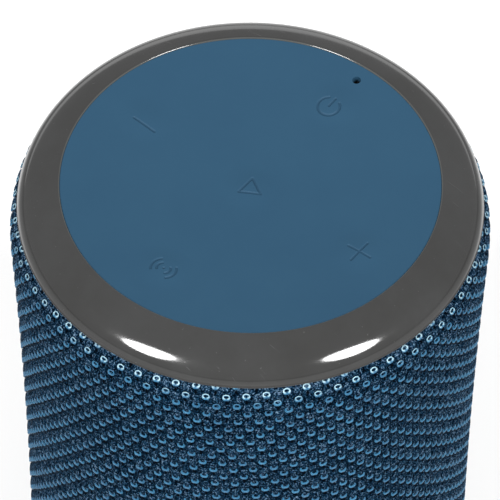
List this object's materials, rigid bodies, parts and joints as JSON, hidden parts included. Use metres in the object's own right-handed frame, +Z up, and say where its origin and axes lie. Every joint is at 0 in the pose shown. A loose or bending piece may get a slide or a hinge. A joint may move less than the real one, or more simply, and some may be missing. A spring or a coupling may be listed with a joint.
{
  "type": "portable bluetooth speaker",
  "caption": "Upright round portable speaker with a knitted fabric sleeve, glossy end rings, soft keypad top with press keys, sealed enclosure with drivers and radiators, rubber foot.",
  "frame": {"origin": "centre of the rubber foot's underside, on the speaker's axis", "axes": "+Z up along the axis; -Y is the front, with the pairing key nearest; the charging port is at +Y"},
  "size_m": [0.088, 0.088, 0.132],
  "materials": {
    "ring_gloss": "gloss",
    "keypad_rubber": "matte",
    "knit": "matte",
    "case_plastic": "matte",
    "key_plastic": "matte",
    "circuit_board": "satin",
    "chips": "satin",
    "steel": "satin",
    "dome_steel": "polished",
    "screw_steel": "satin",
    "magnet": "matte",
    "cone_paper": "matte",
    "surround_rubber": "matte",
    "spider_cloth": "matte",
    "radiator_metal": "satin",
    "gasket_foam": "matte",
    "battery_wrap": "gloss",
    "flap_rubber": "matte",
    "foot_rubber": "matte",
    "ribbon": "satin"
  },
  "bodies": {
    "speaker": {"top_ring": "ring_gloss", "bottom_ring": "ring_gloss", "keypad_skin": "keypad_rubber", "deck_plate": "case_plastic", "snap_domes": "dome_steel", "key_board": "circuit_board", "microphone": "steel", "microphone_boot": "gasket_foam", "case_screws": "screw_steel", "board_screws": "screw_steel", "enclosure_body": "case_plastic", "enclosure_lid": "case_plastic", "lid_gasket": "gasket_foam", "driver_gaskets": "gasket_foam", "driver_screws": "screw_steel", "grille_frame": "case_plastic", "fabric_sleeve": "knit", "port_bezel": "case_plastic", "port_board": "circuit_board", "charging_socket": "steel", "battery_cells": "battery_wrap", "battery_holder": "case_plastic", "main_board": "circuit_board", "board_components": "chips", "ribbon_cable": "ribbon", "base_plate": "case_plastic", "foot_pad": "foot_rubber", "front_driver_basket": "case_plastic", "front_driver_top_plate": "steel", "front_driver_magnet": "magnet", "front_driver_yoke": "steel", "front_driver_surround": "surround_rubber", "front_driver_spider": "spider_cloth", "rear_driver_basket": "case_plastic", "rear_driver_top_plate": "steel", "rear_driver_magnet": "magnet", "rear_driver_yoke": "steel", "rear_driver_surround": "surround_rubber", "rear_driver_spider": "spider_cloth", "left_radiator_frame": "case_plastic", "left_radiator_surround": "surround_rubber", "right_radiator_frame": "case_plastic", "right_radiator_surround": "surround_rubber"},
    "power_key": {"power_key_pad": "keypad_rubber", "power_key_plunger": "key_plastic"},
    "minus_key": {"minus_key_pad": "keypad_rubber", "minus_key_plunger": "key_plastic"},
    "pairing_key": {"pairing_key_pad": "keypad_rubber", "pairing_key_plunger": "key_plastic"},
    "plus_key": {"plus_key_pad": "keypad_rubber", "plus_key_plunger": "key_plastic"},
    "play_key": {"play_key_pad": "keypad_rubber", "play_key_plunger": "key_plastic"},
    "front_cone": {"front_driver_cone": "cone_paper"},
    "rear_cone": {"rear_driver_cone": "cone_paper"},
    "left_diaphragm": {"left_radiator_diaphragm": "radiator_metal"},
    "right_diaphragm": {"right_radiator_diaphragm": "radiator_metal"},
    "port_flap": {"port_flap": "flap_rubber"}
  },
  "joints": [
    {"name": "power_key_press", "type": "slide", "parent": "speaker", "child": "power_key", "axis": [0, 0, -1], "range_m": [0, 0.0003], "stiffness_N_per_m": 600, "springref_m": -0.0015, "deforming": ["snap_domes"]},
    {"name": "minus_key_press", "type": "slide", "parent": "speaker", "child": "minus_key", "axis": [0, 0, -1], "range_m": [0, 0.0003], "stiffness_N_per_m": 600, "springref_m": -0.0015, "deforming": ["snap_domes"]},
    {"name": "pairing_key_press", "type": "slide", "parent": "speaker", "child": "pairing_key", "axis": [0, 0, -1], "range_m": [0, 0.0003], "stiffness_N_per_m": 600, "springref_m": -0.0015, "deforming": ["snap_domes"]},
    {"name": "plus_key_press", "type": "slide", "parent": "speaker", "child": "plus_key", "axis": [0, 0, -1], "range_m": [0, 0.0003], "stiffness_N_per_m": 600, "springref_m": -0.0015, "deforming": ["snap_domes"]},
    {"name": "play_key_press", "type": "slide", "parent": "speaker", "child": "play_key", "axis": [0, 0, -1], "range_m": [0, 0.0003], "stiffness_N_per_m": 600, "springref_m": -0.0015, "deforming": ["snap_domes"]},
    {"name": "front_cone_stroke", "type": "slide", "parent": "speaker", "child": "front_cone", "axis": [0, -1, 0], "range_m": [-0.0015, 0.0015], "stiffness_N_per_m": 1500, "deforming": ["front_driver_surround", "front_driver_spider"]},
    {"name": "rear_cone_stroke", "type": "slide", "parent": "speaker", "child": "rear_cone", "axis": [0, 1, 0], "range_m": [-0.0015, 0.0015], "stiffness_N_per_m": 1500, "deforming": ["rear_driver_surround", "rear_driver_spider"]},
    {"name": "left_diaphragm_stroke", "type": "slide", "parent": "speaker", "child": "left_diaphragm", "axis": [-1, 0, 0], "range_m": [-0.002, 0.002], "stiffness_N_per_m": 900, "deforming": ["left_radiator_surround"]},
    {"name": "right_diaphragm_stroke", "type": "slide", "parent": "speaker", "child": "right_diaphragm", "axis": [1, 0, 0], "range_m": [-0.002, 0.002], "stiffness_N_per_m": 900, "deforming": ["right_radiator_surround"]},
    {"name": "port_flap_hinge", "type": "hinge", "parent": "speaker", "child": "port_flap", "pos_m": [0, 0.0429, 0.02355], "axis": [-1, 0, 0], "range_deg": [0, 90]}
  ]
}
